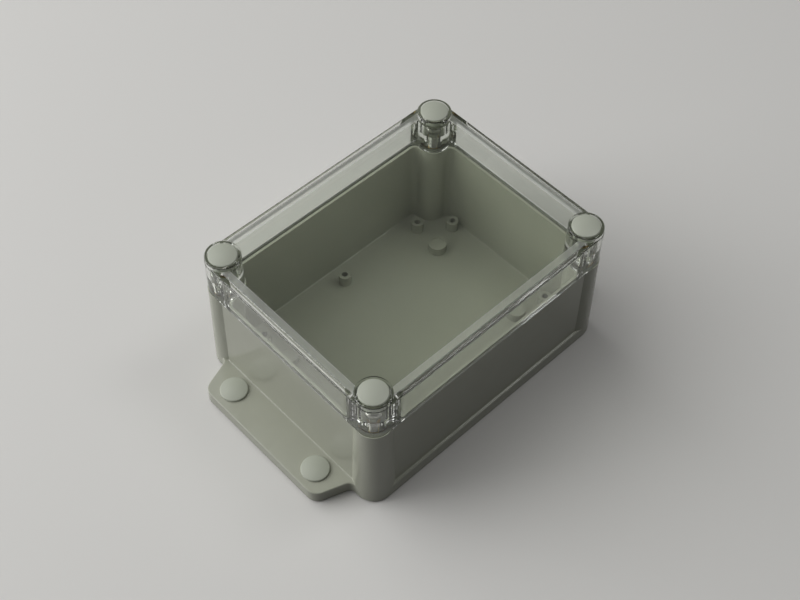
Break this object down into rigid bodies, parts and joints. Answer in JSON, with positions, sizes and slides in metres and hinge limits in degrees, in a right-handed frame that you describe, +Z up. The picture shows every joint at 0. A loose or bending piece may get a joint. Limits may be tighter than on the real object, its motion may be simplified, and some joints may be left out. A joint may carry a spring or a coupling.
{
  "type": "electronics enclosure",
  "caption": "Flanged plastic electronics enclosure: ribless tub with round corner columns, clear screw-down lid with a gasket, and push-in caps over the screws and mounting holes.",
  "frame": {"origin": "centre of the flat underside, midway between the four mounting holes", "axes": "+Z up through the lid, X along the box towards the two mounting flanges, Y across it"},
  "size_m": [0.188, 0.12, 0.078],
  "materials": {
    "housing": "semi-gloss moulded plastic, warm light grey",
    "cap": "satin moulded plastic, light grey",
    "clear": "clear polycarbonate, polished",
    "seal": "moulded silicone",
    "screw_steel": "plain stainless",
    "insert_brass": "turned"
  },
  "bodies": {
    "tub": {"base": "housing", "gasket": "seal", "insert_1": "insert_brass", "insert_2": "insert_brass", "insert_3": "insert_brass", "insert_4": "insert_brass"},
    "cover": {"lid": "clear"},
    "lid_screw_1": {"screw_1": "screw_steel"},
    "lid_screw_2": {"screw_2": "screw_steel"},
    "lid_screw_3": {"screw_3": "screw_steel"},
    "lid_screw_4": {"screw_4": "screw_steel"},
    "lid_plug_1": {"lid_cap_1": "cap"},
    "lid_plug_2": {"lid_cap_2": "cap"},
    "lid_plug_3": {"lid_cap_3": "cap"},
    "lid_plug_4": {"lid_cap_4": "cap"},
    "flange_plug_1": {"flange_cap_1": "cap"},
    "flange_plug_2": {"flange_cap_2": "cap"},
    "flange_plug_3": {"flange_cap_3": "cap"},
    "flange_plug_4": {"flange_cap_4": "cap"}
  },
  "joints": [
    {"name": "lid_lift", "type": "slide", "parent": "tub", "child": "cover", "axis": [0, 0, 1], "range_m": [0, 0.06]},
    {"name": "screw_1_spin", "type": "hinge", "parent": "cover", "child": "lid_screw_1", "pos_m": [-0.0662, -0.0497, 0.064], "axis": [0, 0, 1], "continuous": true},
    {"name": "screw_2_spin", "type": "hinge", "parent": "cover", "child": "lid_screw_2", "pos_m": [0.0662, -0.0497, 0.064], "axis": [0, 0, 1], "continuous": true},
    {"name": "screw_3_spin", "type": "hinge", "parent": "cover", "child": "lid_screw_3", "pos_m": [0.0662, 0.0497, 0.064], "axis": [0, 0, 1], "continuous": true},
    {"name": "screw_4_spin", "type": "hinge", "parent": "cover", "child": "lid_screw_4", "pos_m": [-0.0662, 0.0497, 0.064], "axis": [0, 0, 1], "continuous": true},
    {"name": "lid_cap_1_pull", "type": "slide", "parent": "cover", "child": "lid_plug_1", "axis": [0, 0, 1], "range_m": [0, 0.012]},
    {"name": "lid_cap_2_pull", "type": "slide", "parent": "cover", "child": "lid_plug_2", "axis": [0, 0, 1], "range_m": [0, 0.012]},
    {"name": "lid_cap_3_pull", "type": "slide", "parent": "cover", "child": "lid_plug_3", "axis": [0, 0, 1], "range_m": [0, 0.012]},
    {"name": "lid_cap_4_pull", "type": "slide", "parent": "cover", "child": "lid_plug_4", "axis": [0, 0, 1], "range_m": [0, 0.012]},
    {"name": "flange_cap_1_pull", "type": "slide", "parent": "tub", "child": "flange_plug_1", "axis": [0, 0, 1], "range_m": [0, 0.012]},
    {"name": "flange_cap_2_pull", "type": "slide", "parent": "tub", "child": "flange_plug_2", "axis": [0, 0, 1], "range_m": [0, 0.012]},
    {"name": "flange_cap_3_pull", "type": "slide", "parent": "tub", "child": "flange_plug_3", "axis": [0, 0, 1], "range_m": [0, 0.012]},
    {"name": "flange_cap_4_pull", "type": "slide", "parent": "tub", "child": "flange_plug_4", "axis": [0, 0, 1], "range_m": [0, 0.012]}
  ]
}
